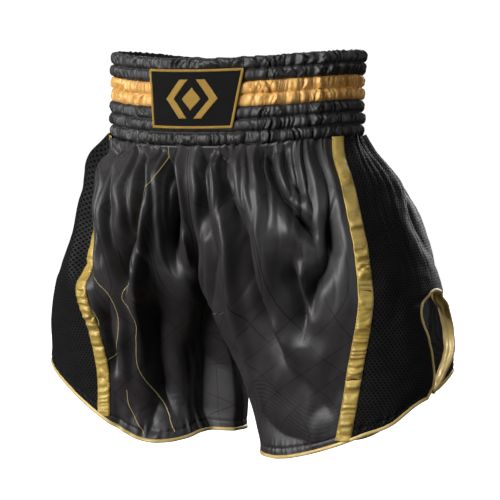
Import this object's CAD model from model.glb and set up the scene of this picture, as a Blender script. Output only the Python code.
"""Boxing shorts: the finished look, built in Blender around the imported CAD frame.

Shapes are worked out in millimetres with +Z up, -Y the wearer's front and +X the wearer's left, and
turned into metres when a mesh is made. Each cloth panel is a grid laid over a smooth leg, and its
folds, gathers and puckers move the grid's points along the leg's normals.
"""

import bpy
import math
import numpy as np
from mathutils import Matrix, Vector
from mathutils.bvhtree import BVHTree


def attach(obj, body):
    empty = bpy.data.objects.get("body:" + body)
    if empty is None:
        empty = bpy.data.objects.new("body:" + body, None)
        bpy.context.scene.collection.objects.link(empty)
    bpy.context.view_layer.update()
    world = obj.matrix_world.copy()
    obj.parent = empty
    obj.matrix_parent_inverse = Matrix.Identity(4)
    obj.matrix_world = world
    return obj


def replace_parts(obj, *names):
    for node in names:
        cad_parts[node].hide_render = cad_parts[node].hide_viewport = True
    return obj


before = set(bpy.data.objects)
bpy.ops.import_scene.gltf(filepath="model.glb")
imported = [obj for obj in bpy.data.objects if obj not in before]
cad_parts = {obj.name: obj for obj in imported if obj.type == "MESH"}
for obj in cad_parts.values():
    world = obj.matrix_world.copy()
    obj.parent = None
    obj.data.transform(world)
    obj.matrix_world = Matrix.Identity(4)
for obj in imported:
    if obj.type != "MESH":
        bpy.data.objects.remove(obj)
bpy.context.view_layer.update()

MM = 0.001

# ------------------------------------------------------------------ dimensions

BAND_HEIGHT = 84.0
ROWS = 7
ROW_HEIGHT = BAND_HEIGHT / ROWS
ELASTIC_WIDTH = 9.4
WAIST_A, WAIST_B = 127.0, 90.0  # half axes of the waistband's inner face
MEAN_RADIUS = 111.0  # of the waistband, to turn its angles into distances
CROWN = 5.4  # how far a puffed row stands off the inner face
DIP = 8.5  # how much lower the waistband hangs in front and behind than at the hips
BAND_MOVE = (-5.0, -2.5)  # the waistband sits a little to the wearer's right and forward
BAND_FLARE = 9.0  # how far its upper rows lean out over the left hip

# Leg sections: height, centre x, centre y, half width, half depth, squareness
LEG = np.array(
    [
        (-410, 116, 10, 94, 76, 2.2),
        (-310, 115, 8, 101, 89, 2.4),
        (-250, 103, 6, 104, 104, 2.5),
        (-200, 80, 4, 110, 112, 2.5),
        (-150, 48, 2, 122, 115, 2.3),
        (-112, 16, 0, 136, 110, 2.1),
        (-84, 0, 0, 134, 97, 2.0),
    ],
    float,
)
# The hem in front as distances from the middle and heights. The right leg hangs a little higher.
HEM = {
    "left": [(0, -395), (40, -396), (75, -396), (120, -386)]
    + [(165, -369), (190, -358), (214, -335), (250, -319)],
    "right": [(0, -384), (22, -382), (40, -388), (61, -391), (86, -388)]
    + [(120, -371), (143, -357), (170, -339), (198, -320), (250, -297)],
}
BACK_RISE = 32.0  # how much higher the hem is behind the hip
HEM_DEPTH = 9.0  # how far above the edge the hem is stitched
# The side tape's middle line seen from the front as heights and distances from the middle
TAPE = {
    "left": [(-412, 136), (-369, 148), (-313, 161), (-240, 175), (-188, 166), (-138, 149), (-84, 128)],
    "right": [(-412, 128), (-355, 125), (-310, 123), (-276, 126)]
    + [(-245, 134), (-215, 138), (-150, 136), (-84, 122)],
}
TAPE_WIDTH = 15.0
# The vent's two edges as heights and depths, from the hem up to its round head
VENT_FRONT = [(-345, -24), (-332, -16), (-327, -11), (-317, -7), (-298, -7.5), (-279, -11)]
VENT_FRONT += [(-260, -18), (-251, -17), (-245, -10), (-240, 2), (-234, 25)]
VENT_BACK = [(-345, -20), (-329, -8), (-321.5, 6), (-311, 19), (-300, 36), (-287, 51)]
VENT_BACK += [(-265, 60), (-250, 58), (-240, 48), (-234, 25)]
VENT_HEAD = -234.0
VENT_RISE = {"left": 0.0, "right": 13.0}  # how much higher each vent sits

GUSSET_TOP, GUSSET_TIP = -222.0, -312.0  # the heights of the gusset's corners
GUSSET_MIDDLE, GUSSET_HALF = 5.0, 64.0  # the depth of its middle and half its length
HIDDEN_TAPE = 17.0  # how deep the right front tape's upper part lies in a fold
VALLEY_DEPTH, RIDGE_HEIGHT = 2.3, 1.5  # how much deeper and higher folds are than listed

# Grid sizes. One row of each panel's grid lies level with the vent's head
FRONT_COLUMNS, SIDE_COLUMNS, PANEL_ROWS = 150, 96, 240
HEAD_ROW = 100
BAND_COLUMNS = 1000

# --------------------------------------------------------------------- numbers


def curve_through(pairs, x):
    """A smooth curve through pairs of (place, value)."""
    places, values = np.array(pairs, float).T
    return smooth_curve(places, values, x)


def smooth_curve(xs, ys, x):
    """A smooth curve through points with rising xs, held level beyond its ends."""
    slopes = np.gradient(ys, xs, axis=0)
    x = np.clip(x, xs[0], xs[-1])
    i = np.clip(np.searchsorted(xs, x) - 1, 0, len(xs) - 2)
    step = xs[i + 1] - xs[i]
    t = (x - xs[i]) / step
    if ys.ndim > 1:
        t, step = t[..., None], step[..., None]
    start = (2 * t**3 - 3 * t**2 + 1) * ys[i] + (t**3 - 2 * t**2 + t) * step * slopes[i]
    end = (3 * t**2 - 2 * t**3) * ys[i + 1] + (t**3 - t**2) * step * slopes[i + 1]
    return start + end


def ramp(low, high, x):
    """0 below low, 1 above high, and smooth between. Low may be the larger."""
    t = np.clip((x - low) / (high - low), 0, 1)
    return t * t * (3 - 2 * t)


def noise(x, seed):
    """Smooth noise along one axis, from -1 to 1, with one random value at each whole number."""
    values = np.random.default_rng(seed).uniform(-1, 1, 4096)
    cell = np.floor(x).astype(int)
    t = x - cell
    t = t * t * (3 - 2 * t)
    return values[cell % 4096] * (1 - t) + values[(cell + 1) % 4096] * t


def noise2(x, y, seed):
    """Smooth noise over a plane, from -1 to 1."""
    values = np.random.default_rng(seed).uniform(-1, 1, (256, 256))
    cx, cy = np.floor(x).astype(int), np.floor(y).astype(int)
    tx, ty = x - cx, y - cy
    tx, ty = tx * tx * (3 - 2 * tx), ty * ty * (3 - 2 * ty)
    cx, cy = cx % 256, cy % 256
    ex, ey = (cx + 1) % 256, (cy + 1) % 256
    near = values[cx, cy] * (1 - tx) + values[ex, cy] * tx
    far = values[cx, ey] * (1 - tx) + values[ex, ey] * tx
    return near * (1 - ty) + far * ty


def gathers(x, seed):
    """Rounded pleats with sharp valleys between them, about one per unit, from -0.5 to 0.5."""
    return 1.6 * np.abs(noise(1.4 * x, seed)) - 0.62


def unit(v):
    return v / (np.linalg.norm(v, axis=-1, keepdims=True) + 1e-12)


def signed_power(value, power):
    return np.sign(value) * np.abs(value) ** power


def distances_along(path):
    """The distance along a path to each of its points."""
    return np.concatenate([[0], np.cumsum(np.linalg.norm(np.diff(path, axis=0), axis=1))])


def read_at(places, distances, values):
    """Points given at some distances, read at other places by straight steps between them."""
    return np.stack([np.interp(places, distances, column) for column in values.T], -1)


def resample(path, spacing):
    """Evenly spaced places along a path, and which of its points to keep with their distances."""
    distances = distances_along(path)
    keep = np.concatenate([[True], np.diff(distances) > 1e-6])
    places = np.linspace(0, distances[-1], max(4, int(distances[-1] / spacing)))
    return places, distances[keep], keep


def grid_normals(points, outward):
    """Unit normals of a grid of points, each on the same side as outward."""
    normals = unit(np.cross(np.gradient(points, axis=1), np.gradient(points, axis=0)))
    sign = np.sign(np.sum(normals * outward, -1, keepdims=True))
    return normals * np.where(sign == 0, 1, sign)


# --------------------------------------------------------------- making meshes


def mesh_object(name, points, faces, uv=None):
    """A mesh from points in millimetres. uv has one pair per point."""
    mesh = bpy.data.meshes.new(name)
    mesh.from_pydata((np.asarray(points, float) * MM).tolist(), [], [tuple(f) for f in faces])
    mesh.update()
    if uv is not None:
        layer = mesh.uv_layers.new(name="UVMap")
        loops = np.empty(len(mesh.loops), int)
        mesh.loops.foreach_get("vertex_index", loops)
        layer.data.foreach_set("uv", np.asarray(uv, float)[loops].ravel())
    mesh.shade_smooth()
    thing = bpy.data.objects.new(name, mesh)
    bpy.context.scene.collection.objects.link(thing)
    return thing


def grid_faces(rows, columns, closed=False, looped=False):
    """Quads over a grid of points stored row by row.

    A closed grid's last column meets its first, and a looped grid's last row meets its first.
    """
    i = np.arange(rows if looped else rows - 1)[:, None]
    j = np.arange(columns if closed else columns - 1)[None, :]
    right, this, below = (j + 1) % columns, i * columns, (i + 1) % rows * columns
    return np.stack([this + j, this + right, below + right, below + j], -1).reshape(-1, 4)


def grid_object(name, points, uv, closed=False):
    """A surface over an array of points with shape (rows, columns, 3)."""
    faces = grid_faces(*points.shape[:2], closed)
    return mesh_object(name, points.reshape(-1, 3), faces, uv.reshape(-1, 2))


def face_forward(thing):
    """Turns a piece's faces to the front."""
    if thing.data.polygons[0].normal.y > 0:
        thing.data.flip_normals()


def thicken(thing, thickness, offset=-1.0):
    """Gives a surface thickness, as real geometry."""
    solid = thing.modifiers.new("thickness", "SOLIDIFY")
    solid.thickness = thickness * MM
    solid.offset = offset
    solid.use_even_offset = False


def capped_faces(count, sides):
    """Faces of a tube of count rings with sides points each, closed at both ends."""
    ends = [tuple(range(sides))[::-1], tuple(range((count - 1) * sides, count * sides))]
    return list(grid_faces(count, sides, closed=True)) + ends


def tube(name, path, normals, inward, profile, looped=False):
    """A strip that follows path. The profile is pairs of (inward, normal) distances in millimetres."""
    points = np.stack([path + inward * b + normals * n for b, n in profile], 1)
    count, sides = points.shape[:2]
    faces = grid_faces(count, sides, closed=True, looped=True) if looped else capped_faces(count, sides)
    uv = np.stack(np.meshgrid(distances_along(path), np.linspace(0, 10, sides), indexing="ij"), -1)
    return mesh_object(name, points.reshape(-1, 3), faces, uv.reshape(-1, 2) / 100)


def stitches(name, path, normals, stitch=2.4, gap=1.1, radius=0.22, lift=0.15):
    """A row of thread stitches lying along a path: each one a short six-sided spindle."""
    sides = 6
    distances = distances_along(path)
    points, faces = [], []
    for start in np.arange(0.5, distances[-1] - stitch, stitch + gap):
        middle = start + stitch / 2
        ends = read_at(np.array([start, middle, start + stitch]), distances, path)
        up = unit(read_at(np.array([middle]), distances, normals))[0]
        side = unit(np.cross(unit(ends[2] - ends[0]), up))
        base = len(points)
        # The thread is thin where it enters the cloth and stands up between
        for end, scale, rise in zip(ends, (0.35, 1.0, 0.35), (-0.1, 0.25, -0.1)):
            for turn in range(sides):
                angle = 2 * math.pi * turn / sides
                round_thread = side * math.cos(angle) + up * math.sin(angle)
                points.append(end + up * (lift + rise) + radius * scale * round_thread)
        faces.extend(tuple(base + i for i in face) for face in capped_faces(3, sides))
    return mesh_object(name, points, faces)


# ------------------------------------------------------------------- materials


class Nodes:
    """A material with a Principled shader and short ways to add nodes to it."""

    def __init__(self, name, **sockets):
        self.material = bpy.data.materials.new(name)
        self.material.use_nodes = True
        self.tree = self.material.node_tree
        self.shader = self.tree.nodes["Principled BSDF"]
        for socket, value in sockets.items():
            self.shader.inputs[socket.replace("_", " ")].default_value = value

    def add(self, kind, inputs=(), **settings):
        node = self.tree.nodes.new(kind)
        for key, value in settings.items():
            setattr(node, key, value)
        for socket, value in dict(inputs).items():
            if isinstance(value, bpy.types.NodeSocket):
                self.tree.links.new(value, node.inputs[socket])
            else:
                node.inputs[socket].default_value = value
        return node

    def math(self, operation, a, b=0.0):
        return self.add("ShaderNodeMath", {0: a, 1: b}, operation=operation).outputs[0]

    def times(self, a, b):
        return self.math("MULTIPLY", a, b)

    def plus(self, a, b):
        return self.math("ADD", a, b)

    def wave(self, value, pitch):
        """Rises and falls between -1 and 1 each time value grows by pitch."""
        return self.math("SINE", self.times(value, 2 * math.pi / pitch))

    def uv(self):
        """Cloth coordinates in millimetres, across and along."""
        coordinates = self.add("ShaderNodeUVMap", uv_map="UVMap").outputs[0]
        split = self.add("ShaderNodeSeparateXYZ", {0: coordinates})
        return self.times(split.outputs[0], 100.0), self.times(split.outputs[1], 100.0)

    def noise(self, scale, detail=3.0):
        place = self.add("ShaderNodeTexCoord").outputs["Object"]
        inputs = {"Scale": scale, "Detail": detail, "Vector": place}
        return self.add("ShaderNodeTexNoise", inputs).outputs["Fac"]

    def between(self, factor, first, second):
        mix = self.add("ShaderNodeMix", data_type="RGBA")
        self.tree.links.new(factor, mix.inputs["Factor"])
        for socket, value in (("A", first), ("B", second)):
            slots = [s for s in mix.inputs if s.name == socket and s.type == "RGBA"]
            if isinstance(value, bpy.types.NodeSocket):
                self.tree.links.new(value, slots[0])
            else:
                slots[0].default_value = (*value, 1.0)
        return [s for s in mix.outputs if s.type == "RGBA"][0]

    def span(self, value, low, high, to_low=0.0, to_high=1.0):
        inputs = {"Value": value, "From Min": low, "From Max": high, "To Min": to_low, "To Max": to_high}
        return self.add("ShaderNodeMapRange", inputs, clamp=True).outputs["Result"]

    def bump(self, height, distance, strength=1.0, under=None):
        inputs = {"Height": height, "Distance": distance * MM, "Strength": strength}
        if under is not None:
            inputs["Normal"] = under
        return self.add("ShaderNodeBump", inputs).outputs["Normal"]

    def link(self, output, socket):
        self.tree.links.new(output, self.shader.inputs[socket])

    def weave(self, pitch, depth):
        """A plain weave: two sets of ridges at right angles, each pitch millimetres apart."""
        across, along = self.uv()
        return self.bump(self.times(self.wave(across, pitch), self.wave(along, pitch)), depth)


def line_family(nodes, value, pitch, width):
    """1 on thin lines that repeat each time value grows by pitch, 0 elsewhere."""
    phase = nodes.math("FRACT", nodes.math("DIVIDE", value, pitch))
    distance = nodes.math("ABSOLUTE", nodes.math("SUBTRACT", phase, 0.5))
    edge = 0.5 * width / pitch
    return nodes.span(distance, edge * 0.5, edge * 1.5, 1.0, 0.0)


def printed_lines(nodes, across, along, contours):
    """A printed net of fine lines, and if asked a band of contour lines that fades in lower down."""
    drift = nodes.times(nodes.math("SINE", nodes.times(along, 0.028)), 22.0)
    one = nodes.plus(nodes.times(across, 0.82), nodes.times(along, 0.57))
    two = nodes.math("SUBTRACT", nodes.times(across, 0.80), nodes.times(along, 0.60))
    first = line_family(nodes, nodes.plus(one, drift), 34.0, 0.8)
    second = line_family(nodes, nodes.math("SUBTRACT", two, drift), 41.0, 0.8)
    net = nodes.math("MAXIMUM", first, second)
    if not contours:
        return net
    level = nodes.plus(along, nodes.times(nodes.math("SINE", nodes.times(across, 0.045)), 14.0))
    contour = line_family(nodes, level, 4.2, 0.7)
    low = nodes.times(nodes.span(level, 238.0, 252.0), nodes.span(level, 296.0, 282.0))
    return nodes.math("MAXIMUM", net, nodes.times(contour, low))


def satin_material(name, colour, roughness, printed=False, contours=False):
    """Satin: a smooth long-float weave with a soft, stretched highlight."""
    nodes = Nodes(name, Roughness=roughness, Anisotropic=0.5, Sheen_Weight=0.03, Sheen_Roughness=0.4)
    nodes.shader.inputs["Specular IOR Level"].default_value = 0.62
    across, along = nodes.uv()
    shade = tuple(0.72 * c for c in colour)
    tint = nodes.between(nodes.span(nodes.noise(28.0, 4.0), 0.35, 0.7), shade, colour)
    if printed:
        lines = printed_lines(nodes, across, along, contours)
        tint = nodes.between(nodes.times(lines, 0.85), tint, (0.002, 0.002, 0.002))
    nodes.link(tint, "Base Color")
    rough = nodes.span(nodes.noise(60.0, 5.0), 0.3, 0.7, roughness - 0.05, roughness + 0.06)
    nodes.link(rough, "Roughness")
    fine = nodes.bump(nodes.wave(across, 0.42), 0.02, 0.6)
    soft = nodes.bump(nodes.noise(140.0, 6.0), 0.25, 0.35, fine)
    nodes.link(soft, "Normal")
    tangent = nodes.add("ShaderNodeTangent", direction_type="UV_MAP", uv_map="UVMap")
    nodes.link(tangent.outputs[0], "Tangent")
    return nodes.material


def mesh_material():
    """Knitted mesh: rows of small holes between glossy threads, every other row shifted."""
    nodes = Nodes("black_mesh", Roughness=0.6, Sheen_Weight=0.02)
    nodes.shader.inputs["Specular IOR Level"].default_value = 0.08
    across, along = nodes.uv()
    across_pitch, along_pitch = 4.6, 2.6
    row = nodes.math("FLOOR", nodes.math("DIVIDE", along, along_pitch))
    shift = nodes.times(nodes.math("MODULO", row, 2.0), 0.5 * across_pitch)
    column = nodes.plus(nodes.plus(across, shift), nodes.times(nodes.noise(22.0, 2.0), 1.2))
    squares = []
    for value, pitch in ((column, across_pitch), (along, along_pitch)):
        phase = nodes.math("SUBTRACT", nodes.math("FRACT", nodes.math("DIVIDE", value, pitch)), 0.5)
        squares.append(nodes.math("POWER", nodes.times(phase, pitch), 2.0))
    solid = nodes.span(nodes.math("SQRT", nodes.plus(*squares)), 0.75, 1.25)
    thread = nodes.span(nodes.wave(across, 0.55), -1.0, 1.0, 0.7, 1.0)
    cloud = nodes.span(nodes.noise(30.0), 0.3, 0.7, 0.75, 1.15)
    yarn = nodes.between(nodes.times(thread, cloud), (0.003, 0.003, 0.0032), (0.017, 0.0165, 0.017))
    nodes.link(nodes.between(solid, (0.0008, 0.0008, 0.0008), yarn), "Base Color")
    nodes.link(nodes.span(solid, 0.0, 1.0, 0.95, 0.5), "Roughness")
    nodes.link(nodes.bump(solid, 0.35, 0.7), "Normal")
    return nodes.material


def gold_material(name, light, dark):
    """Gold satin, deeper in colour where it is in folds."""
    nodes = Nodes(name, Roughness=0.38, Anisotropic=0.4, Sheen_Weight=0.12, Metallic=0.12)
    nodes.shader.inputs["Specular IOR Level"].default_value = 0.6
    nodes.link(nodes.between(nodes.span(nodes.noise(45.0, 4.0), 0.3, 0.72), dark, light), "Base Color")
    nodes.link(nodes.span(nodes.noise(90.0, 4.0), 0.3, 0.7, 0.3, 0.46), "Roughness")
    threads = nodes.bump(nodes.wave(nodes.uv()[1], 0.45), 0.03, 0.6)
    nodes.link(nodes.bump(nodes.noise(160.0, 6.0), 0.2, 0.4, threads), "Normal")
    return nodes.material


def embroidery_material(name, light, dark):
    """Satin stitch: close, glossy threads side by side."""
    nodes = Nodes(name, Roughness=0.36, Metallic=0.25, Anisotropic=0.3)
    point = nodes.add("ShaderNodeTexCoord").outputs["Object"]
    split = nodes.add("ShaderNodeSeparateXYZ", {0: point})
    slant = nodes.plus(split.outputs[0], nodes.times(split.outputs[2], 0.55))
    threads = nodes.wave(slant, 0.55 * MM)
    cloud = nodes.span(nodes.noise(90.0), 0.3, 0.7, 0.7, 1.0)
    mixed = nodes.times(nodes.span(threads, -1.0, 1.0, 0.45, 1.0), cloud)
    nodes.link(nodes.between(mixed, dark, light), "Base Color")
    nodes.link(nodes.bump(threads, 0.16, 0.8), "Normal")
    return nodes.material


def cloth_material(name, colour, pitch, roughness=0.75, depth=0.08):
    """Plain woven cloth."""
    nodes = Nodes(name, Roughness=roughness, Sheen_Weight=0.02)
    nodes.shader.inputs["Specular IOR Level"].default_value = 0.2
    shade = tuple(0.6 * c for c in colour)
    nodes.link(nodes.between(nodes.span(nodes.noise(55.0, 5.0), 0.3, 0.7), shade, colour), "Base Color")
    nodes.link(nodes.weave(pitch, depth), "Normal")
    return nodes.material


CHARCOAL = (0.036, 0.0325, 0.033)
SATIN = satin_material("charcoal_satin", CHARCOAL, 0.48, printed=True)
CONTOUR_SATIN = satin_material("charcoal_satin_contours", CHARCOAL, 0.48, printed=True, contours=True)
BAND_SATIN = satin_material("waistband_satin", (0.024, 0.022, 0.0215), 0.5)
MESH = mesh_material()
STRIPE_GOLD = gold_material("stripe_gold", (0.90, 0.52, 0.15), (0.68, 0.34, 0.075))
TAPE_GOLD = gold_material("tape_gold", (0.66, 0.47, 0.11), (0.42, 0.28, 0.05))
BINDING_GOLD = gold_material("binding_gold", (0.82, 0.62, 0.25), (0.60, 0.42, 0.12))
PRINT_GOLD = gold_material("print_gold", (0.50, 0.40, 0.19), (0.36, 0.28, 0.10))
EMBLEM_GOLD = embroidery_material("emblem_gold", (0.66, 0.41, 0.09), (0.32, 0.17, 0.025))
PATCH_BLACK = cloth_material("patch_twill", (0.005, 0.005, 0.005), 0.7, 0.75, 0.12)
LINING = cloth_material("band_lining", (0.012, 0.012, 0.013), 0.9, 0.8, 0.1)
ELASTIC = cloth_material("elastic_weave", (0.6, 0.58, 0.54), 1.1, 0.8, 0.15)
LABEL = cloth_material("label_satin", (0.60, 0.60, 0.58), 0.5, 0.5, 0.04)
BLACK_THREAD = cloth_material("black_thread", (0.010, 0.010, 0.010), 0.3, 0.5, 0.03)
GOLD_THREAD = cloth_material("gold_thread", (0.42, 0.29, 0.09), 0.3, 0.5, 0.03)


def finish_piece(thing, material):
    """Paints a piece and fixes it to the only body."""
    thing.data.materials.clear()
    thing.data.materials.append(material)
    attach(thing, "root")
    return thing


# -------------------------------------------------------------------- the legs

LEVELS = np.arange(-84.0, -412.0, -1.0)


def leg_section(height):
    """The leg's centre x, centre y, half width, half depth and squareness at a height."""
    return np.moveaxis(smooth_curve(LEG[:, 0], LEG[:, 1:], np.asarray(height, float)), -1, 0)


def leg_point(angle, height):
    """A point on the wearer's left leg, at an angle from its front towards its outer side."""
    cx, cy, hw, hd, squareness = leg_section(height)
    across = signed_power(np.sin(angle), 2 / squareness)
    along = signed_power(np.cos(angle), 2 / squareness)
    return np.stack([cx + hw * across, cy - hd * along, height + 0 * across], -1)


def from_leg_axis(points):
    """The level direction from the leg's axis to each point."""
    cx, cy = leg_section(points[..., 2])[:2]
    return points - np.stack([cx, cy, points[..., 2]], -1)


def angle_at_x(x, height):
    """The angle of the front of the leg at a distance from the middle."""
    cx, _, hw, _, squareness = leg_section(height)
    return np.arcsin(signed_power(np.clip((x - cx) / hw, -1, 1), squareness / 2))


def angle_at_y(y, height):
    """The angle of the outer side of the leg at a depth."""
    _, cy, _, hd, squareness = leg_section(height)
    return np.arccos(signed_power(np.clip((cy - y) / hd, -1, 1), squareness / 2))


MIDDLE_ANGLE = angle_at_x(np.zeros_like(LEVELS), LEVELS)
TAPE_ANGLE = {side: angle_at_x(curve_through(line, LEVELS), LEVELS) for side, line in TAPE.items()}
BACK_TAPE_ANGLE = math.pi - TAPE_ANGLE["left"] + 0.2 * ramp(-330, -230, LEVELS)


def vent_angles(side):
    """The angles of the vent's front and back edges at each level. They agree above the vent."""
    # Edges are smooth over the square root of the distance below the head, which rounds the head
    below = np.sqrt(np.clip(VENT_HEAD + VENT_RISE[side] - LEVELS, 0, None))
    edges = []
    for line in (VENT_FRONT, VENT_BACK):
        knots = [(math.sqrt(VENT_HEAD - z), y) for z, y in reversed(line)]
        edges.append(angle_at_y(curve_through(knots, below), LEVELS))
    return edges


def hem_height(points, side, back):
    """The hem's height on the leg under some points. Behind, it rises towards the vent."""
    x, y = points[..., 0], points[..., 1]
    rise = BACK_RISE * ramp(90, 190, x) * (0.12 + 0.88 * ramp(-15, 80, y))
    return curve_through(HEM[side], x) + rise * back


class Panel:
    """A cloth panel of the wearer's left leg as a grid, from one angle to another and waist to hem.

    points are the smooth leg's, drop is the distance below the waist seam, and across and from_last
    are the distances from the first and last edges. shift moves each point along its normal.
    """

    def __init__(self, first, last, side, columns, back=False, steady="last"):
        steps = np.linspace(0, 1, 241)
        curves, lengths = [], []
        for i, height in enumerate(LEVELS):
            angles = first[i] + (last[i] - first[i]) * steps
            curves.append(angles)
            lengths.append(distances_along(leg_point(angles, np.full_like(angles, height))))
        # Columns keep their distance from the steady edge, and only those near the other one follow it
        widths = np.array([length[-1] for length in lengths])
        window = np.hanning(83)[1:-1] / np.hanning(83).sum()
        even = np.convolve(np.pad(widths, 40, "edge"), window, "valid")
        share = np.linspace(0, 1, columns)
        lattice = np.empty((len(LEVELS), columns, 3))
        for i, height in enumerate(LEVELS):
            place = share * even[i] + (widths[i] - even[i]) * ramp(0.4, 1, share)
            if steady == "last":
                place = (widths[i] - place)[::-1]
            angle = np.interp(place, lengths[i], curves[i])
            lattice[i] = leg_point(angle, np.full_like(angle, height))
        self.points = np.empty((PANEL_ROWS, columns, 3))
        # Rows are shared out above and below the vent's head, so that both mesh halves have one there
        head = VENT_HEAD + VENT_RISE[side]
        self.bottom = np.empty(columns)
        for j in range(columns):
            gap = LEVELS - hem_height(lattice[:, j], side, back)
            hit = np.argmax(gap < 0)
            t = gap[hit - 1] / (gap[hit - 1] - gap[hit])
            self.bottom[j] = LEVELS[hit - 1] - t
            breaks = [LEVELS[0], head, self.bottom[j]]
            heights = np.interp(np.arange(PANEL_ROWS), [0, HEAD_ROW, PANEL_ROWS - 1], breaks)
            self.points[:, j] = read_at(-heights, -LEVELS, lattice[:, j])
        self.columns, self.side, self.back = columns, side, back
        self.drop = LEVELS[0] - self.points[..., 2]
        self.across = np.array([distances_along(row) for row in self.points])
        self.width = self.across[:, -1:]
        self.from_last = self.width - self.across
        self.above_hem = self.points[..., 2] - self.bottom[None, :]
        self.uv = np.stack([-self.from_last if steady == "last" else self.across, self.drop], -1) / 100
        self.top_across = self.across[0][None, :] + 0 * self.across
        self.normals = grid_normals(self.points, from_leg_axis(self.points))
        self.shift = np.zeros((PANEL_ROWS, columns))
        self.shift_scale = 1 - gusset_cover(self.points)

    def placed(self):
        """The folded surface, on the panel's own side of the body."""
        moved = self.points + self.normals * (self.shift * self.shift_scale)[..., None]
        moved[..., 2] += waist_dip(moved) * ramp(150, 0, self.drop)
        return on_side(self.side, settled(moved, self.side))

    def placed_normals(self):
        return grid_normals(self.placed(), on_side(self.side, self.normals))


def gusset_cover(points):
    """1 where the gusset covers the inside of the leg, 0 away from it."""
    x, y, z = np.moveaxis(points, -1, 0)
    half = GUSSET_HALF * (z - GUSSET_TIP) / (GUSSET_TOP - GUSSET_TIP)
    inside = ramp(-2, 8, half + 8 - np.abs(y - GUSSET_MIDDLE)) * ramp(-20, -45, x - leg_section(z)[0])
    return inside * ramp(GUSSET_TOP + 10, GUSSET_TOP, z)


def settled(points, side):
    """Moves a leg's points to how that leg hangs, in the left leg's coordinates."""
    x, y, z = np.moveaxis(points.copy(), -1, 0)
    hand = 1 if side == "left" else -1
    near_waist = ramp(-140, -88, z)
    sideways = hand * BAND_MOVE[0] * near_waist
    if side == "left":
        sideways += 0.8 * np.exp(-(((z + 125) / 28) ** 2)) * ramp(90, 125, x)
        sideways += 4.0 * np.exp(-(((z + 285) / 35) ** 2)) * ramp(8, 40, y) * ramp(150, 190, x)
        sideways += 6.0 * ramp(-330, -390, z) * ramp(70, 25, x) * ramp(25, -20, y)
    else:
        sideways += 8.0 * np.exp(-(((z + 108) / 22) ** 2)) * ramp(90, 125, x)
        sideways -= 7.5 * ramp(-145, -185, z) * ramp(60, 140, x)
        sideways -= 9.0 * ramp(-290, -360, z) * ramp(70, 25, x)
    return np.stack([x + sideways, y + BAND_MOVE[1] * near_waist, z], -1)


def on_side(side, points):
    return points if side == "left" else points * np.array([-1.0, 1.0, 1.0])


def waist_dip(points):
    """How far the waist hangs below its height at the hips, for points near it."""
    angle = np.arctan2(points[..., 0] / WAIST_A, -points[..., 1] / WAIST_B)
    return -DIP * np.cos(angle) ** 2


def stroke(x, z, path, width, depth, start=0.25, end=0.35, lean=0.0, power=2.0):
    """A fold seen from the front: a soft ridge, or a valley where depth is below zero.

    path is points (x, z). The fold fades in over the first share of its length and out over the
    last. lean makes one flank wider than the other.
    """
    path = np.array(path, float)
    fine = smooth_curve(np.linspace(0, 1, len(path)), path, np.linspace(0, 1, 25))
    best = np.full(x.shape, 1e9)
    place = np.zeros(x.shape)
    hand = np.zeros(x.shape)
    travelled = distances_along(fine)
    lengths = np.diff(travelled)
    for i in range(len(fine) - 1):
        a, b = fine[i], fine[i + 1]
        d = b - a
        t = np.clip(((x - a[0]) * d[0] + (z - a[1]) * d[1]) / (d @ d), 0, 1)
        dx, dz = x - a[0] - t * d[0], z - a[1] - t * d[1]
        distance = np.hypot(dx, dz)
        closer = distance < best
        best = np.where(closer, distance, best)
        place = np.where(closer, (travelled[i] + t * lengths[i]) / travelled[-1], place)
        hand = np.where(closer, np.sign(dx * d[1] - dz * d[0]), hand)
    size = width * (1 + lean * hand)
    window = ramp(0, start, place) * ramp(1, 1 - end, place) if start > 0 else ramp(1, 1 - end, place)
    return depth * window * np.exp(-((best / size) ** power))


def waist_gathers(panel, seed, strength):
    """Gathers that run down from the waist seam, join into fewer folds and fade."""
    c, d = panel.top_across, panel.drop
    wander = 5.0 * noise2(c / 34, d / 42, seed) + 2.0 * noise2(c / 15, d / 22, seed + 1)
    fine = gathers((c + 0.4 * wander) / 6.5, seed + 2) * 4.2 * np.exp(-d / 15)
    thin = gathers((c + 0.7 * wander) / 9.5, seed + 9) * 2.6 * ramp(0, 30, d) * ramp(190, 40, d)
    middle = gathers((c + wander) / 14.0, seed + 3) * 6.5 * ramp(-18, 20, d) * ramp(115, 14, d)
    broad = gathers((c + 1.6 * wander) / 33.0, seed + 4) * 7.5 * ramp(8, 60, d) * ramp(220, 60, d)
    return strength * (fine + thin + middle + broad)


def quiet_edges(panel):
    """0 at the panel's side seams and 1 inside them."""
    return ramp(1.0, 16.0, panel.across) * ramp(8.0, 18.0, panel.from_last)


def seam_wave(height, side, half):
    """How the cloth either side of a taped seam waves in and out, the same on both sides of it."""
    seed = {"front": 77, "back": 79}[half] + (0 if side == "left" else 4)
    wave = 2.2 * noise(height / 46, seed) + 0.8 * noise(height / 17, seed + 1)
    if (side, half) == ("right", "front"):
        wave -= HIDDEN_TAPE * ramp(-80, -96, height) * ramp(-238, -208, height)
    return wave


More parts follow.
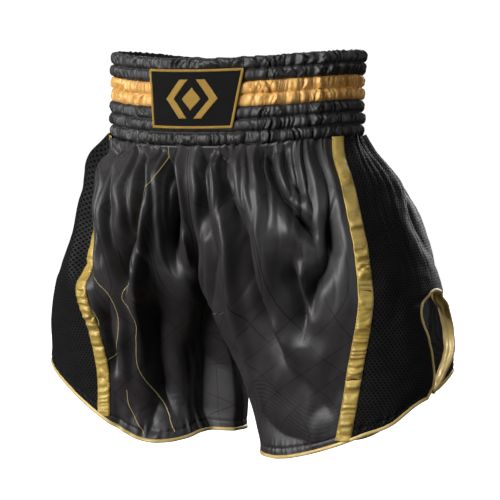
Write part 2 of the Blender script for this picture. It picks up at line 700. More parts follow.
# Folds seen from the front as (points from waist to hem, width, depth), in millimetres. A depth
# below zero is a valley. They follow what the photograph shows on each leg.
LEFT_FOLDS = [
    ([(18, -88), (18, -130), (19, -182)], 5.5, -8),
    ([(29, -88), (34, -142), (44, -190), (43, -235), (48, -300), (66, -372)], 8, 7),
    ([(38, -90), (46, -140), (60, -172), (68, -235), (80, -275), (100, -322)], 7, -9),
    ([(54, -90), (64, -130), (84, -180), (88, -240), (98, -290)], 12, 6),
    ([(80, -88), (90, -118), (106, -144), (128, -170), (131, -190)], 5.5, -9),
    ([(112, -190), (110, -215), (114, -245), (113, -285)], 8, -7.5),
    ([(94, -90), (104, -116), (122, -140)], 6, -5),
    ([(104, -128), (112, -160), (108, -200)], 9, 5),
    ([(130, -146), (145, -172), (143, -206), (128, -230), (126, -262)], 7, -8.5),
    ([(138, -130), (145, -165), (152, -198)], 4, -5),
    ([(120, -196), (119, -226), (122, -258)], 5, 5.5),
    ([(78, -249), (94, -280), (110, -306)], 10, 4),
    ([(4, -150), (7, -215), (16, -262), (22, -310), (32, -366)], 24, 10),
    ([(40, -345), (76, -372), (120, -378)], 12, -2.5),
    ([(90, -305), (120, -330), (140, -356)], 16, -2.5),
    ([(134, -270), (128, -310), (126, -350)], 16, 3),
]
RIGHT_FOLDS = [
    ([(-20, -86), (-15, -140), (-18, -180), (-23, -222)], 6.5, -15),
    ([(-37, -88), (-43, -140), (-48, -172), (-56, -206), (-68, -250), (-74, -300), (-77, -355)], 7.5, 9),
    ([(-9, -90), (-6, -140), (-8, -185)], 4.5, 5),
    ([(-12, -165), (-9, -190), (-13, -215)], 5, 6),
    ([(-52, -92), (-50, -130), (-62, -182), (-77, -224), (-80, -262)], 7, -8.5),
    ([(-83, -100), (-88, -135), (-95, -172), (-90, -222)], 9, 7),
    ([(-98, -96), (-97, -121), (-110, -183), (-98, -212)], 7, -8),
    ([(-118, -90), (-128, -130), (-142, -170), (-150, -206)], 8, 8),
    ([(-40, -226), (-50, -262), (-56, -300), (-52, -345), (-40, -380)], 17, -9),
    ([(-8, -215), (-12, -260), (-18, -300), (-22, -345), (-24, -420)], 42, -12),
    ([(-22, -205), (-18, -240), (-20, -282), (-27, -312)], 12, 9),
    ([(-100, -240), (-110, -275), (-104, -330)], 10, -5),
    ([(-128, -235), (-132, -280), (-130, -325)], 10, 4),
    ([(-92, -262), (-98, -300), (-100, -350)], 10, 4.5),
    ([(-60, -350), (-70, -372), (-62, -384)], 14, -3),
]


def front_panel(side):
    """A satin front panel, folded as the photograph shows on that side."""
    panel = Panel(MIDDLE_ANGLE, TAPE_ANGLE[side], side, FRONT_COLUMNS)
    x = on_side(side, panel.points)[..., 0]
    z = panel.points[..., 2]
    seed = 10 if side == "left" else 40
    shift = waist_gathers(panel, seed, 1.0)
    for path, width, depth in LEFT_FOLDS if side == "left" else RIGHT_FOLDS:
        start = 0.0 if path[0][1] > -105 else 0.35
        deep = VALLEY_DEPTH if depth < 0 else RIDGE_HEIGHT
        end, power = (0.3, 1.3) if depth < 0 else (0.5, 2.0)
        fold = stroke(x, z, path, width, deep * depth, start, end, 0.25, power)
        shift += fold * (ramp(-8, 8, panel.drop) if depth < 0 else ramp(0, 24, panel.drop))
    shift += crumple(panel, seed)
    shift *= quiet_edges(panel)
    finish_shift(panel, shift, seed)
    return panel


def back_panel(side):
    """A satin back panel, hanging in long plain folds over the seat."""
    panel = Panel(math.pi - MIDDLE_ANGLE, BACK_TAPE_ANGLE, side, FRONT_COLUMNS, back=True)
    seed = 120 if side == "left" else 160
    chance = np.random.default_rng(seed)
    shift = waist_gathers(panel, seed, 0.9)
    x, z = panel.points[..., 0], panel.points[..., 2]
    for i in range(11):
        start = 10 + i * 11.5
        top = -90 - chance.uniform(0, 40)
        long = chance.uniform(90, 230)
        spread = 0.28 * start * long / 200
        path = [(start, top), (start + 0.6 * spread + chance.uniform(-5, 5), top - long / 2)]
        path.append((start + spread + chance.uniform(-7, 7), top - long))
        depth = chance.uniform(5, 9) * (-1 if i % 2 else 0.8)
        shift += stroke(x, z, path, chance.uniform(6, 11), depth, 0.15, 0.45, chance.uniform(-0.3, 0.3))
    shift += crumple(panel, seed)
    shift *= quiet_edges(panel)
    finish_shift(panel, shift, seed)
    return panel


def crumple(panel, seed):
    """Slight unevenness that any hanging cloth has."""
    c, d = panel.from_last, panel.drop
    broad = 1.2 * noise2(c / 30, d / 70, seed + 7)
    small = 0.7 * noise2(c / 9 + 0.3 * noise2(c / 40, d / 30, seed), d / 26, seed + 8)
    return (broad + small) * ramp(0, 60, d)


def finish_shift(panel, shift, seed):
    """Adds what the panel shares with its neighbours: the seams' waves and the hem."""
    z = panel.points[..., 2]
    half = "back" if panel.back else "front"
    shift += seam_wave(z, panel.side, half) * ramp(26, 6, panel.from_last)
    shift -= 2.5 * np.exp(-((panel.across / 4) ** 2)) * ramp(185, 150, panel.drop)
    shift += hem_pucker(panel, seed)
    # The gathers start inside the waistband's lower edge
    below = np.clip(panel.drop, 0, None)
    panel.shift = np.clip(shift, -1.8 - 1.2 * below, 1.6 + 0.8 * below)
    facing = ramp(185, 150, panel.drop) * ramp(16, 0, panel.across)
    panel.normals[..., 0] *= 1 - facing
    panel.normals = unit(panel.normals)


def hem_pucker(panel, seed):
    """The hem: a turned-up edge that is drawn in at its stitching."""
    above_stitching = panel.above_hem - HEM_DEPTH
    ripple = gathers(panel.across / 6.5, seed + 20) * ramp(0, 6, panel.across) * ramp(8, 16, panel.from_last)
    puckers = 0.9 * ripple * np.exp(-((above_stitching / 6.0) ** 2))
    return puckers - 0.8 * np.exp(-((above_stitching / 1.5) ** 2))


def side_halves(side):
    """The mesh side panel as two grids, in front of the vent and behind it."""
    front_edge, back_edge = vent_angles(side)
    front = Panel(TAPE_ANGLE[side], front_edge, side, SIDE_COLUMNS, steady="first")
    back = Panel(BACK_TAPE_ANGLE, back_edge, side, SIDE_COLUMNS, back=True, steady="first")
    seed = 210 if side == "left" else 260
    whole = front.width[0, 0] + back.width[0, 0]
    back.top_across = whole - back.top_across
    back.uv[..., 0] = (front.width + back.width) / 100 - back.uv[..., 0]
    for half, label in ((front, "front"), (back, "back")):
        c, d = half.top_across, half.drop
        shift = waist_gathers(half, seed, 0.42) + 1.6 * noise2(c / 26, d / 80, seed + 5)
        shift = (shift + 0.45 * noise2(c / 8, d / 9, seed + 6)) * ramp(1.0, 22.0, half.across)
        # The cloth is drawn in a little across the panel, just below the vent's head
        level = VENT_HEAD + VENT_RISE[side] - 8 - half.points[..., 2]
        shift -= 2.6 * np.exp(-((level / 5.0) ** 2)) * ramp(34, 8, half.from_last)
        shift += seam_wave(half.points[..., 2], side, label) * ramp(24, 4, half.across)
        shift += hem_pucker(half, seed)
        half.shift = shift
    return front, back


def joined_side(front, back):
    """Places both halves and makes their shared column above the vent the same."""
    one, two = front.placed(), back.placed()
    above = np.arange(PANEL_ROWS) <= HEAD_ROW
    one[above, -1] = two[above, -1] = 0.5 * (one[above, -1] + two[above, -1])
    return one, two


def side_mesh(name, grids, uvs):
    """One mesh from both halves of a side panel. Above the vent they share the first's last column."""
    rows, columns = grids[0].shape[:2]
    first = grid_faces(rows, columns)
    second = first[:, ::-1] + rows * columns
    point = np.arange(2 * rows * columns)
    shared = np.arange(HEAD_ROW + 1) * columns + columns - 1
    point[rows * columns + shared] = shared
    points = np.concatenate([grid.reshape(-1, 3) for grid in grids])
    uv = np.concatenate([grid.reshape(-1, 2) for grid in uvs])
    return mesh_object(name, points, point[np.concatenate([first, second])], uv)


def face_outward(thing, side):
    """Turns a panel's faces outward, so its thickness goes inward."""
    middle = thing.data.polygons[len(thing.data.polygons) // 2]
    outward = np.array(middle.center) / MM - on_side(side, np.array([116.0, 8.0, 0.0]))
    if np.dot(np.array(middle.normal)[:2], outward[:2]) < 0:
        thing.data.flip_normals()


panels, halves = {}, {}
for side in ("left", "right"):
    panels["front", side] = front_panel(side)
    panels["back", side] = back_panel(side)
    halves[side] = side_halves(side)

for (half, side), panel in panels.items():
    name = f"{half}_panel_{side}"
    thing = grid_object(f"{name}_cloth", panel.placed(), panel.uv)
    face_outward(thing, side)
    thicken(thing, 0.5)
    finish_piece(thing, CONTOUR_SATIN if name == "front_panel_left" else SATIN)
    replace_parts(thing, name)

side_grids = {}
for side, (front, back) in halves.items():
    side_grids[side] = joined_side(front, back)
    name = f"side_mesh_panel_{side}"
    thing = side_mesh(f"{name}_cloth", side_grids[side], (front.uv, back.uv))
    thing.data.validate()
    face_outward(thing, side)
    thicken(thing, 0.6)
    finish_piece(thing, MESH)
    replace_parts(thing, name)


# ----------------------------------------------------------------------- tapes


def tape_ribbon(half, side):
    """The satin tape over a side seam, puckered across by its stitching."""
    centre = TAPE_ANGLE[side] if half == "front" else BACK_TAPE_ANGLE
    hem = hem_height(leg_point(centre, LEVELS), side, half == "back")
    low = LEVELS[np.argmax(LEVELS < hem)] + 2.5
    heights = np.arange(-83.0, low, -1.0)
    angles = np.interp(-heights, -LEVELS, centre)
    step = 0.004
    ahead, behind = leg_point(angles + step, heights), leg_point(angles - step, heights)
    speed = np.linalg.norm(ahead - behind, axis=-1) / (2 * step)
    across = np.linspace(-TAPE_WIDTH / 2, TAPE_WIDTH / 2, 17)
    grid_z = heights[:, None] + 0 * across
    grid_w = across[None, :] + 0 * grid_z
    base = leg_point(angles[:, None] + grid_w / speed[:, None], grid_z)
    normals = grid_normals(base, from_leg_axis(base))
    lift = seam_wave(base[..., 2], side, half) + 1.0
    seed = {"front": 86, "back": 88}[half] + (0 if side == "left" else 4)
    wander = 0.35 * noise2(grid_w / 7, grid_z / 16, seed)
    ruck = gathers(grid_z / 13 + wander, seed + 10) * 2.6 + gathers(grid_z / 5.0 - wander, seed + 11) * 1.5
    ruck *= 0.6 + 0.5 * noise(grid_z / 31, seed + 12)
    crown = 1 - np.abs(grid_w / (TAPE_WIDTH / 2)) ** 4
    lift += (ruck + 0.9) * crown - 0.5 * (1 - crown)
    moved = base + normals * lift[..., None]
    moved[..., 2] += waist_dip(moved) * ramp(150, 0, LEVELS[0] - base[..., 2])
    uv = np.stack([grid_w, grid_z], -1) / 100
    return on_side(side, settled(moved, side)), on_side(side, normals), uv


for side in ("left", "right"):
    for half in ("front", "back"):
        name = f"{half}_tape_{side}"
        points, normals, uv = tape_ribbon(half, side)
        thing = grid_object(f"{name}_satin", points, uv)
        middle = thing.data.polygons[len(thing.data.polygons) // 2]
        if np.dot(np.array(middle.normal), normals[len(points) // 2, 8]) < 0:
            thing.data.flip_normals()
        thicken(thing, 0.45)
        finish_piece(thing, TAPE_GOLD)
        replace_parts(thing, name)
        for k, edge in enumerate((1, -2)):
            seam = stitches(f"{name}_seam_{k}", points[:, edge], normals[:, edge], 2.2, 1.0, 0.2, 0.1)
            finish_piece(seam, GOLD_THREAD)
        across_seam = stitches(f"{name}_hem_seam", points[-8], normals[-8], 2.2, 1.0, 0.25, 0.1)
        finish_piece(across_seam, BLACK_THREAD)


# -------------------------------------------------------------------- bindings


def smooth_path(values, passes):
    for _ in range(passes):
        values[1:-1] = 0.25 * values[:-2] + 0.5 * values[1:-1] + 0.25 * values[2:]
    return values


# A binding's section as pairs of (distance into the cloth, distance outward)
BINDING_FRONT = [(2.3, 0.75), (1.2, 1.15), (0.1, 1.2), (-0.7, 0.85), (-1.0, 0.0), (-0.7, -0.85)]
EDGE_PROFILE = BINDING_FRONT + [(0.1, -1.2), (1.2, -1.15), (2.3, -0.75), (2.6, 0.0)]
# The vent's binding has a wide facing that stands inwards
VENT_FACING = [(0.0, -1.5), (1.6, -5.5), (3.0, -10.0), (2.5, -10.3), (0.9, -5.7), (2.3, -0.75)]
VENT_PROFILE = BINDING_FRONT + VENT_FACING


def bound_edge(name, path, normals, towards, profile):
    """A narrow folded strip over a cloth edge. towards is a direction into the cloth."""
    places, distances, keep = resample(path, 1.2)
    path, normals, towards = (read_at(places, distances, grid[keep]) for grid in (path, normals, towards))
    path, normals = smooth_path(path, 3), unit(smooth_path(normals, 8))
    along = unit(np.gradient(path, axis=0))
    inward = unit(np.cross(normals, along))
    sign = np.sign(np.sum(inward * towards, -1, keepdims=True))
    inward *= np.where(np.median(sign) < 0, -1.0, 1.0)
    twist = 0.12 * noise(places / 7.0, 5)[:, None]
    return tube(name, path + normals * twist, normals, inward, profile)


def hem_part(half, side, mesh_half, mesh_grid):
    """The binding along the front or back half of a leg's hem."""
    satin = panels[half, side]
    path = np.concatenate([satin.placed()[-1], mesh_grid[-1, 1:]])
    normals = np.concatenate([satin.placed_normals()[-1], mesh_half.placed_normals()[-1, 1:]])
    up = np.tile(np.array([0.0, 0.0, 1.0]), (len(path), 1))
    return bound_edge(f"hem_binding_{side}_{half}", path, normals, up, EDGE_PROFILE)


for side, (front, back) in halves.items():
    one, two = side_grids[side]
    hem_parts = [hem_part("front", side, front, one), hem_part("back", side, back, two)]
    joined = hem_parts[0]
    with bpy.context.temp_override(active_object=joined, selected_editable_objects=hem_parts):
        bpy.ops.object.join()
    finish_piece(joined, BINDING_GOLD)
    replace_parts(joined, f"hem_binding_{side}")

    # The vent's edge goes up the front half to the head and down the back half
    path = np.concatenate([one[HEAD_ROW:, -1][::-1], two[HEAD_ROW + 1 :, -1]])
    up_front, down_back = front.placed_normals()[HEAD_ROW:, -1], back.placed_normals()[HEAD_ROW + 1 :, -1]
    normals = np.concatenate([up_front[::-1], down_back])
    middle = on_side(side, np.array([210.0, 4.0, -275.0 + VENT_RISE[side]]))
    vent = bound_edge(f"vent_binding_{side}_strip", path, normals, path - middle, VENT_PROFILE)
    finish_piece(vent, BINDING_GOLD)
    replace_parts(vent, f"vent_binding_{side}")


# ------------------------------------------------------------------- waistband


def band_point(turn, height, offset):
    """A point on the waistband: turn is its angle from the front towards the wearer's left."""
    a, b = WAIST_A + offset, WAIST_B + offset
    x, y = a * np.sin(turn), -b * np.cos(turn)
    sag = DIP * np.cos(turn) ** 2
    flare = BAND_FLARE * ramp(-34, -6, height) * np.exp(-(((turn - 1.35) / 0.5) ** 2))
    return np.stack([x + flare + BAND_MOVE[0], y + BAND_MOVE[1], height - sag], -1)


def puffed(height):
    """0 at the stitching between two channels and 1 midway up one."""
    phase = np.abs((height / ROW_HEIGHT) % 1.0 - 0.5) * 2
    return np.clip(1 - phase**2.6, 0, 1) ** 0.55


def band_offset(turn, height):
    """How far the gathered outer layer stands off the waistband's inner face."""
    arc = turn * MEAN_RADIUS
    row = np.clip(np.floor(-height / ROW_HEIGHT), 0, ROWS - 1)
    bulge = puffed(height)
    slant = 0.3 * (height % ROW_HEIGHT) * noise(arc / 23 + 31 * row, 901)
    wander = 2.2 * noise2(arc / 13, height / 7, 902) + slant
    shared = gathers((arc + wander) / 8.5, 903)
    own = gathers((arc + wander) / 6.4 + 57.3 * row, 904)
    fine = gathers((arc - wander) / 3.4 + 13.1 * row, 905)
    creases = 2.2 * shared + 2.6 * own + 1.0 * fine
    uneven = 1 + 0.2 * noise2(arc / 28, row, 906)
    body = 2.3 + (CROWN - 2.3) * bulge * uneven
    under_patch = ramp(62, 50, np.abs(WAIST_A * np.sin(turn) - 5))
    under_patch = under_patch * ramp(-4, -12, height) * ramp(-76, -68, height)
    creases *= 1 - 0.8 * under_patch * (np.cos(turn) > 0)
    return body + creases * (0.45 + 0.55 * bulge)


band_turns = np.linspace(0, 2 * math.pi, BAND_COLUMNS, endpoint=False)


def band_strip(name, top, bottom, material):
    """One strip of the gathered outer layer, between two heights."""
    heights = np.linspace(top, bottom, int((top - bottom) / 0.8) + 1)
    height, turn = np.meshgrid(heights, band_turns, indexing="ij")
    arc = turn * MEAN_RADIUS
    frill = (0.9 * gathers(arc / 6.0, 911) + 0.5 * noise(arc / 19, 912)) * ramp(-5, 0, height)
    points = band_point(turn, height + frill, band_offset(turn, height))
    opening = band_point(band_turns, heights[0] + frill[0] * 0.6, 2.1)
    closing = band_point(band_turns, heights[-1], 2.1)
    points = np.concatenate([[opening], points, [closing]])
    heights = np.concatenate([[heights[0]], heights, [heights[-1]]])
    height, turn = np.meshgrid(heights, band_turns, indexing="ij")
    thing = grid_object(name, points, np.stack([turn * MEAN_RADIUS, height], -1) / 100, closed=True)
    thing.data.flip_normals()
    thicken(thing, 0.35)
    return finish_piece(thing, material)


BAND_STRIPS = {
    "waistband_top_casing": (0, 2, BAND_SATIN, "black_satin"),
    "waistband_stripe_casing": (2, 4, STRIPE_GOLD, "gold_satin"),
    "waistband_lower_casing": (4, 7, BAND_SATIN, "black_satin"),
}
for name, (first, last, material, slot) in BAND_STRIPS.items():
    strip = band_strip(f"{name}_gathered", -first * ROW_HEIGHT, -last * ROW_HEIGHT, material)
    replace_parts(strip, name)

for row in range(ROWS + 1):
    height = -row * ROW_HEIGHT + (-1.0 if row == 0 else 0.6 if row == ROWS else 0.0)
    turns = np.linspace(0, 2 * math.pi, 1400)
    level = np.full_like(turns, height)
    path = band_point(turns, level, band_offset(turns, level))
    outward = unit(np.stack([np.sin(turns) / WAIST_A, -np.cos(turns) / WAIST_B, 0 * turns], -1))
    seam = stitches(f"waistband_stitching_{row}", path, outward, 1.9, 1.0, 0.2, 0.05)
    finish_piece(seam, BLACK_THREAD)


def ring_solid(name, inner, outer, top, bottom, material, waves=0.0):
    """A closed ring of cloth or elastic between two offsets and two heights."""
    turns = np.linspace(0, 2 * math.pi, 480, endpoint=False)
    rings = []
    for offset, heights in ((outer, np.linspace(top, bottom, 8)), (inner, np.linspace(bottom, top, 8))):
        for height in heights:
            ripple = waves * gathers(turns * MEAN_RADIUS / 8.0 + height / 30, 921) * (offset == inner)
            rings.append(band_point(turns, height + 0 * turns, offset + ripple))
    points = np.array(rings)
    faces = grid_faces(*points.shape[:2], closed=True, looped=True)[:, ::-1]
    height = points[..., 2]
    uv = np.stack([turns[None, :] * MEAN_RADIUS + 0 * height, height], -1) / 100
    return finish_piece(mesh_object(name, points.reshape(-1, 3), faces, uv.reshape(-1, 2)), material)


# The facing reaches a little below the band, over the legs' seam
low = -BAND_HEIGHT - 3.5
facing = ring_solid("waistband_facing_cloth", 0.0, 0.9, -0.4, low, LINING, waves=0.5)
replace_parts(facing, "waistband_inner_facing")
for row in range(ROWS):
    top = -(row + 0.5) * ROW_HEIGHT + ELASTIC_WIDTH / 2
    band = ring_solid(f"elastic_band_{row + 1}", 1.0, 1.9, top, top - ELASTIC_WIDTH, ELASTIC)
    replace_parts(band, f"waist_elastic_{row + 1}")


# ----------------------------------------------------------------------- patch

PATCH_LEFT_TOP, PATCH_RIGHT_TOP = -46.5, 56.5
PATCH_LEFT_LOW, PATCH_RIGHT_LOW = -41.5, 45.0
PATCH_HIGH, PATCH_LOW = -10.5, -68.5


def patch_point(u, v, lift):
    """A point on the patch: u goes 0 to 1 towards the wearer's left, and v 0 to 1 downwards."""
    left = PATCH_LEFT_TOP + (PATCH_LEFT_LOW - PATCH_LEFT_TOP) * v
    right = PATCH_RIGHT_TOP + (PATCH_RIGHT_LOW - PATCH_RIGHT_TOP) * v
    x = left + (right - left) * u
    offset = CROWN + 1.9 + lift + 0.7 * noise2(u * 3.1, v * 2.3, 931)
    turn = np.arcsin(np.clip(x / (WAIST_A + CROWN), -1, 1))
    height = PATCH_HIGH + (PATCH_LOW - PATCH_HIGH) * v
    return band_point(turn, height, offset)


def patch_base():
    u, v = np.meshgrid(np.linspace(0, 1, 90), np.linspace(0, 1, 60))
    edge = np.minimum(np.minimum(u, 1 - u) * 90, np.minimum(v, 1 - v) * 58)
    points = patch_point(u, v, 0.9 * ramp(0, 2.5, edge) - 0.9)
    thing = grid_object("patch_twill_base", points, np.stack([u * 0.9, v * 0.6], -1))
    face_forward(thing)
    thicken(thing, 1.0)
    return finish_piece(thing, PATCH_BLACK)


def patch_border():
    """A rope of satin stitch round the patch's edge."""
    corners = [(0.018, 0.028), (0.982, 0.028), (0.982, 0.972), (0.018, 0.972), (0.018, 0.028)]
    path = []
    for (u0, v0), (u1, v1) in zip(corners, corners[1:]):
        t = np.linspace(0, 1, 70, endpoint=False)
        path.append(np.stack([u0 + (u1 - u0) * t, v0 + (v1 - v0) * t], -1))
    path = np.concatenate(path)
    points = patch_point(path[:, 0], path[:, 1], 0.15 + 0 * path[:, 0])
    ahead = np.roll(points, -1, axis=0) - np.roll(points, 1, axis=0)
    outward = unit(points * np.array([0.35, 1, 0]))
    inward = unit(np.cross(outward, unit(ahead)))
    profile = [(1.35 * math.cos(t), 0.75 * math.sin(t)) for t in np.linspace(0, 2 * math.pi, 13)[:-1]]
    rope = tube("patch_border_stitch", points, outward, inward, profile, looped=True)
    return finish_piece(rope, EMBLEM_GOLD)


def depth_inside(outline, cell=0.55, margin=0.5):
    """A grid of points round an outline, and how deep each lies inside it, below zero outside.

    outline is points (x, z) from the patch's middle.
    """
    outline = np.array(outline, float)
    low, high = outline.min(0), outline.max(0)
    nx, nz = ((high - low) / cell).astype(int) + 3
    low, high = low - margin, high + margin
    x, z = np.meshgrid(np.linspace(low[0], high[0], nx), np.linspace(high[1], low[1], nz))
    inside = np.full(x.shape, 1e9)
    crossings = np.zeros(x.shape, int)
    for (x0, z0), (x1, z1) in zip(outline, np.roll(outline, -1, axis=0)):
        dx, dz = x1 - x0, z1 - z0
        t = np.clip(((x - x0) * dx + (z - z0) * dz) / (dx * dx + dz * dz), 0, 1)
        inside = np.minimum(inside, np.hypot(x - x0 - t * dx, z - z0 - t * dz))
        spans = (z0 > z) != (z1 > z)
        cut = x0 + (z - z0) * dx / (dz if abs(dz) > 1e-9 else 1e-9)
        crossings += spans & (x < cut)
    return x, z, np.where(crossings % 2 == 1, inside, -inside)


def patch_emblem():
    """A diamond between two chevrons, all in raised satin stitch."""
    chevron = [(28, 0), (13, 19), (3.5, 19), (18.5, 0), (3.5, -19), (13, -19)]
    shapes = [[(10.5, 0), (0, 11.5), (-10.5, 0), (0, -11.5)], chevron, [(-x, z) for x, z in chevron][::-1]]
    points, faces = [], []
    for outline in shapes:
        x, z, depth = depth_inside(outline)
        rise = np.sqrt(np.clip(np.clip(depth, -0.5, 1.2) + 0.2, 0, 1.2) / 1.2)
        grid = grid_faces(*x.shape)
        inside = (depth > -0.05).ravel()[grid].all(1)
        faces.append(grid[inside] + sum(len(part) for part in points))
        points.append(patch_point(0.5 + x / 95, 0.5 - z / 58, 0.1 + 0.85 * rise).reshape(-1, 3))
    used, faces = np.unique(np.concatenate(faces), return_inverse=True)
    thing = mesh_object("patch_emblem_stitch", np.concatenate(points)[used], faces.reshape(-1, 4))
    face_forward(thing)
    thicken(thing, 0.8)
    return finish_piece(thing, EMBLEM_GOLD)


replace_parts(patch_base(), "patch_base")
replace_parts(patch_border(), "patch_border")
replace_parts(patch_emblem(), "patch_emblem")


# ------------------------------------------------------ gusset, labels, stitching


def inner_wall(y, z):
    """The distance from the middle of the leg's inner side at a depth and a height."""
    cx, cy, hw, hd, squareness = leg_section(z)
    ratio = np.clip(np.abs((y - cy) / hd), 0, 1)
    return cx - hw * (1 - ratio**squareness) ** (1 / squareness)


def gusset():
    """The gusset: one piece over both inner legs, folded along the crotch."""
    depths = GUSSET_MIDDLE + GUSSET_HALF * np.linspace(-0.97, 0.97, 90)
    heights = np.arange(-200.0, GUSSET_TIP, -0.25)
    rows = []
    for y in depths:
        wall = inner_wall(np.full_like(heights, y), heights)
        top = heights[np.argmax(wall > 0)]
        low = GUSSET_TIP + (GUSSET_TOP - GUSSET_TIP) * abs(y - GUSSET_MIDDLE) / GUSSET_HALF
        z = np.linspace(top, min(low, top - 0.5), 26)
        x = np.maximum(inner_wall(np.full_like(z, y), z), 0) - 0.9 * ramp(0, 6, top - z)
        rows.append(np.stack([x, np.full_like(z, y), z], -1))
    half = np.swapaxes(np.array(rows), 0, 1)
    ripple = 0.3 * noise2(half[..., 1] / 7, half[..., 2] / 9, 951)
    half[..., 2] -= 1.0 + ripple
    left, right = settled(half, "left"), on_side("right", settled(half, "right"))
    top = 0.5 * (left[:1] + right[:1])
    points = np.concatenate([right[:0:-1], top, left[1:]])
    uv = np.stack([points[..., 1], np.cumsum(np.ones(points.shape[:2]), 0)], -1) / 100
    thing = grid_object("crotch_gusset_cloth", points, uv)
    thicken(thing, 0.5, 0.0)
    for side, line in (("left", points[-1]), ("right", points[0])):
        away = np.tile(on_side(side, np.array([-1.0, 0.0, 0.0])), (len(line), 1))
        finish_piece(stitches(f"gusset_stitching_{side}", line, away, 2.2, 1.0, 0.22, 0.3), BLACK_THREAD)
    return finish_piece(thing, SATIN)


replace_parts(gusset(), "crotch_gusset")


def label(name, turn, width, top, low, drape):
    """A blank woven label sewn on by its top edge, seen inside the shorts."""
    u, v = np.meshgrid(np.linspace(-0.5, 0.5, 40), np.linspace(0, 1, 44))
    height = top + (low - top) * v
    offset = -0.9 - drape * v**1.5 + 0.5 * v * np.sin(7 * u + 2 * v)
    points = band_point(turn + u * width / 105.0, height, offset)
    thing = grid_object(name, points, np.stack([u * width, height], -1) / 100)
    thicken(thing, 0.3, 0.0)
    return finish_piece(thing, LABEL)


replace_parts(label("size_label_cloth", math.pi, 52, -22, -58, 0.6), "size_label")
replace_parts(label("care_label_cloth", math.pi / 2, 34, -74, -132, 1.5), "care_label")


def row_above_hem(panel, rise, columns):
    """The points and normals a set distance above a panel's hem."""
    points, normals = panel.placed(), panel.placed_normals()
    tall = VENT_HEAD + VENT_RISE[panel.side] - panel.bottom
    place = PANEL_ROWS - 1 - rise / tall * (PANEL_ROWS - 1 - HEAD_ROW)
    low = np.floor(place).astype(int)
    t = (place - low)[:, None]
    every = np.arange(panel.columns)
    path, outward = (grid[low, every] * (1 - t) + grid[low + 1, every] * t for grid in (points, normals))
    return path[columns], unit(outward[columns])


for side in ("left", "right"):
    rows = {
        "front": (panels["front", side], slice(2, -9)),
        "back": (panels["back", side], slice(2, -9)),
        "side_front": (halves[side][0], slice(12, -3)),
        "side_back": (halves[side][1], slice(12, -3)),
    }
    for part, (panel, columns) in rows.items():
        path, normals = row_above_hem(panel, HEM_DEPTH, columns)
        seam = stitches(f"hem_stitching_{part}_{side}", path, normals, 2.2, 1.1, 0.24, 0.15)
        finish_piece(seam, BLACK_THREAD)
    # The inner leg seam is sewn down by two rows of stitches
    front = panels["front", side]
    points, normals = front.placed(), front.placed_normals()
    below = np.flatnonzero(front.points[:, 0, 2] < GUSSET_TIP + 6)
    for k, column in enumerate((3, 9)):
        path, outward = points[below, column], normals[below, column]
        seam = stitches(f"inseam_stitching_{k}_{side}", path, outward, 2.2, 1.1, 0.22, 0.12)
        finish_piece(seam, BLACK_THREAD)


# -------------------------------------------------------------- printed gold lines

# Thin lines printed down the right leg, seen from the front as (distance from the middle, height)
PRINTED = [
    [(-29, -93), (-33, -119), (-45, -138), (-55, -162), (-64, -195), (-72, -222), (-85, -243)]
    + [(-78, -256), (-75, -270), (-80, -290), (-82, -315), (-72, -345), (-54, -381)],
    [(-119, -212), (-108, -227), (-96, -241), (-92, -260), (-94, -284), (-103, -302), (-117, -316)],
    [(-124, -243), (-116, -258), (-112, -270), (-115, -281)],
    [(-94, -338), (-94, -352), (-88, -368), (-80, -383)],
]


def printed_line(name, corners, panel, half_width=0.42):
    """A strip lying on a front panel along a line seen from the front."""
    corners = np.array(corners, float)
    knots = np.linspace(0, 1, len(corners))
    fine = smooth_curve(knots, corners, np.linspace(0, 1, 40 * len(corners)))
    places, distances, keep = resample(fine, 1.0)
    line = read_at(places, distances, fine[keep])
    points = panel.placed()
    faces = grid_faces(*points.shape[:2])
    tree = BVHTree.FromPolygons(points.reshape(-1, 3).tolist(), faces.tolist())
    rows = []
    ahead = unit(np.gradient(line, axis=0))
    for (x, z), (dx, dz) in zip(line, ahead):
        pair = []
        for k in (-half_width, half_width):
            start = Vector((x - k * dz, -400, z + k * dx))
            spot, normal, _, _ = tree.ray_cast(start, Vector((0, 1, 0)))
            if spot is None:
                break
            if normal.y > 0:
                normal = -normal
            pair.append(np.array(spot) + 0.22 * np.array(normal))
        if len(pair) == 2:
            rows.append(pair)
    uv = np.stack(np.meshgrid([0, 0.01], np.arange(len(rows)) / 100), -1)
    thing = grid_object(name, np.array(rows), uv)
    face_forward(thing)
    thicken(thing, 0.12, 0.0)
    return finish_piece(thing, PRINT_GOLD)


for k, corners in enumerate(PRINTED):
    printed_line(f"printed_line_{k}", corners, panels["front", "right"])


# ----------------------------------------------------------- stage and cameras

FLOOR = -470.0  # the floor's height in millimetres
AZIMUTH = math.radians(28.0)  # the camera's place, from the front towards the wearer's left
TOWARDS_CAMERA = Vector((math.sin(AZIMUTH), -math.cos(AZIMUTH), 0))
TO_THE_RIGHT = Vector((math.cos(AZIMUTH), math.sin(AZIMUTH), 0))


def area_light(name, place, target, size, power):
    data = bpy.data.lights.new(name, "AREA")
    data.shape = "RECTANGLE"
    data.size, data.size_y = size
    data.energy = power
    lamp = bpy.data.objects.new(name, data)
    lamp.location = place
    lamp.rotation_euler = (Vector(target) - Vector(place)).to_track_quat("-Z", "Y").to_euler()
    bpy.context.scene.collection.objects.link(lamp)
    return lamp


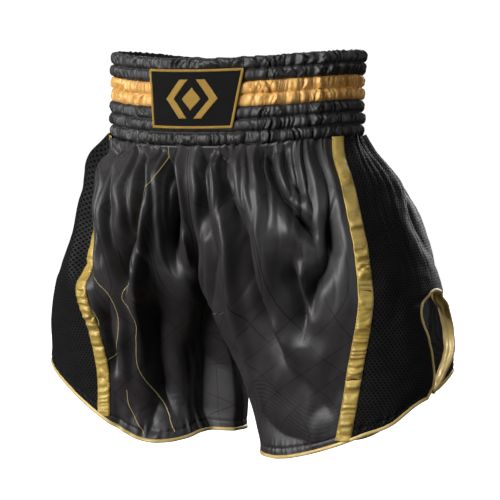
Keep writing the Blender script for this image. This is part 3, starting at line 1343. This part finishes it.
def backdrop():
    """A pale floor that curves up into a wall behind the object."""
    start, bend = 4200.0, 1500.0  # where the floor begins to curve, and how wide its curve is
    line = [(-6000.0, 0.0), (start, 0.0)]
    for t in np.linspace(0.1, math.pi / 2, 14):
        line.append((start + bend * math.sin(t), bend - bend * math.cos(t)))
    line += [(start + bend, 6000.0)]
    points = []
    for depth, height in line:
        for side in (-8000.0, 8000.0):
            points.append(Vector((0, 0, FLOOR + height)) - TOWARDS_CAMERA * depth + TO_THE_RIGHT * side)
    faces = [(2 * i, 2 * i + 1, 2 * i + 3, 2 * i + 2) for i in range(len(line) - 1)]
    floor = mesh_object("backdrop", points, faces)
    nodes = Nodes("backdrop", Roughness=0.9, Emission_Color=(1, 1, 1, 1), Emission_Strength=0.95)
    nodes.link(nodes.between(nodes.noise(2.0), (0.80, 0.80, 0.80), (0.83, 0.83, 0.83)), "Base Color")
    floor.data.materials.append(nodes.material)
    # The studio is dark around the dark cloth: the backdrop doesn't shine back on it
    floor.visible_glossy = False
    floor.visible_diffuse = False


backdrop()

VIEW_WIDTH, SENSOR = 0.5, 36.0  # the width seen at the object in metres, and the sensor's in millimetres
CAMERA_DISTANCE, CAMERA_HEIGHT, AIM_HEIGHT, AIM_RIGHT = 2.6, -0.043, -0.199, 0.0085
camera_data = bpy.data.cameras.new("camera")
camera_data.lens = SENSOR * CAMERA_DISTANCE / VIEW_WIDTH
camera_data.sensor_width = SENSOR
camera = bpy.data.objects.new("camera", camera_data)
camera.location = TOWARDS_CAMERA * CAMERA_DISTANCE + Vector((0, 0, CAMERA_HEIGHT)) + TO_THE_RIGHT * AIM_RIGHT
target = Vector((0, 0, AIM_HEIGHT)) + TO_THE_RIGHT * AIM_RIGHT
camera.rotation_euler = (target - camera.location).to_track_quat("-Z", "Y").to_euler()
bpy.context.scene.collection.objects.link(camera)
bpy.context.scene.camera = camera


def studio(place, size, power):
    """A light placed by distances to the camera's right, towards the camera, and up, in metres."""
    position = TO_THE_RIGHT * place[0] + TOWARDS_CAMERA * place[1] + Vector((0, 0, place[2]))
    return area_light("studio_light", position, (0, 0, -0.2), size, power)


studio((-2.0, 1.6, 0.6), (1.3, 1.8), 88)
studio((1.9, 1.1, 0.3), (0.4, 1.6), 9)
studio((-0.3, 0.6, 2.0), (1.4, 0.8), 7)
inner = area_light("inner_light", (0.02, 0.0, -0.05), (0.12, 0.03, -0.3), (0.08, 0.06), 0.6)
inner.visible_camera = False
studio((0.0, -1.6, 1.6), (2.4, 1.0), 12)
studio((1.0, -2.4, 0.7), (1.3, 1.8), 40)

world = bpy.data.worlds.new("studio")
world.use_nodes = True
world.node_tree.nodes["Background"].inputs["Color"].default_value = (1, 1, 1, 1)
world.node_tree.nodes["Background"].inputs["Strength"].default_value = 0.03
bpy.context.scene.world = world
bpy.context.scene.view_settings.view_transform = "Standard"
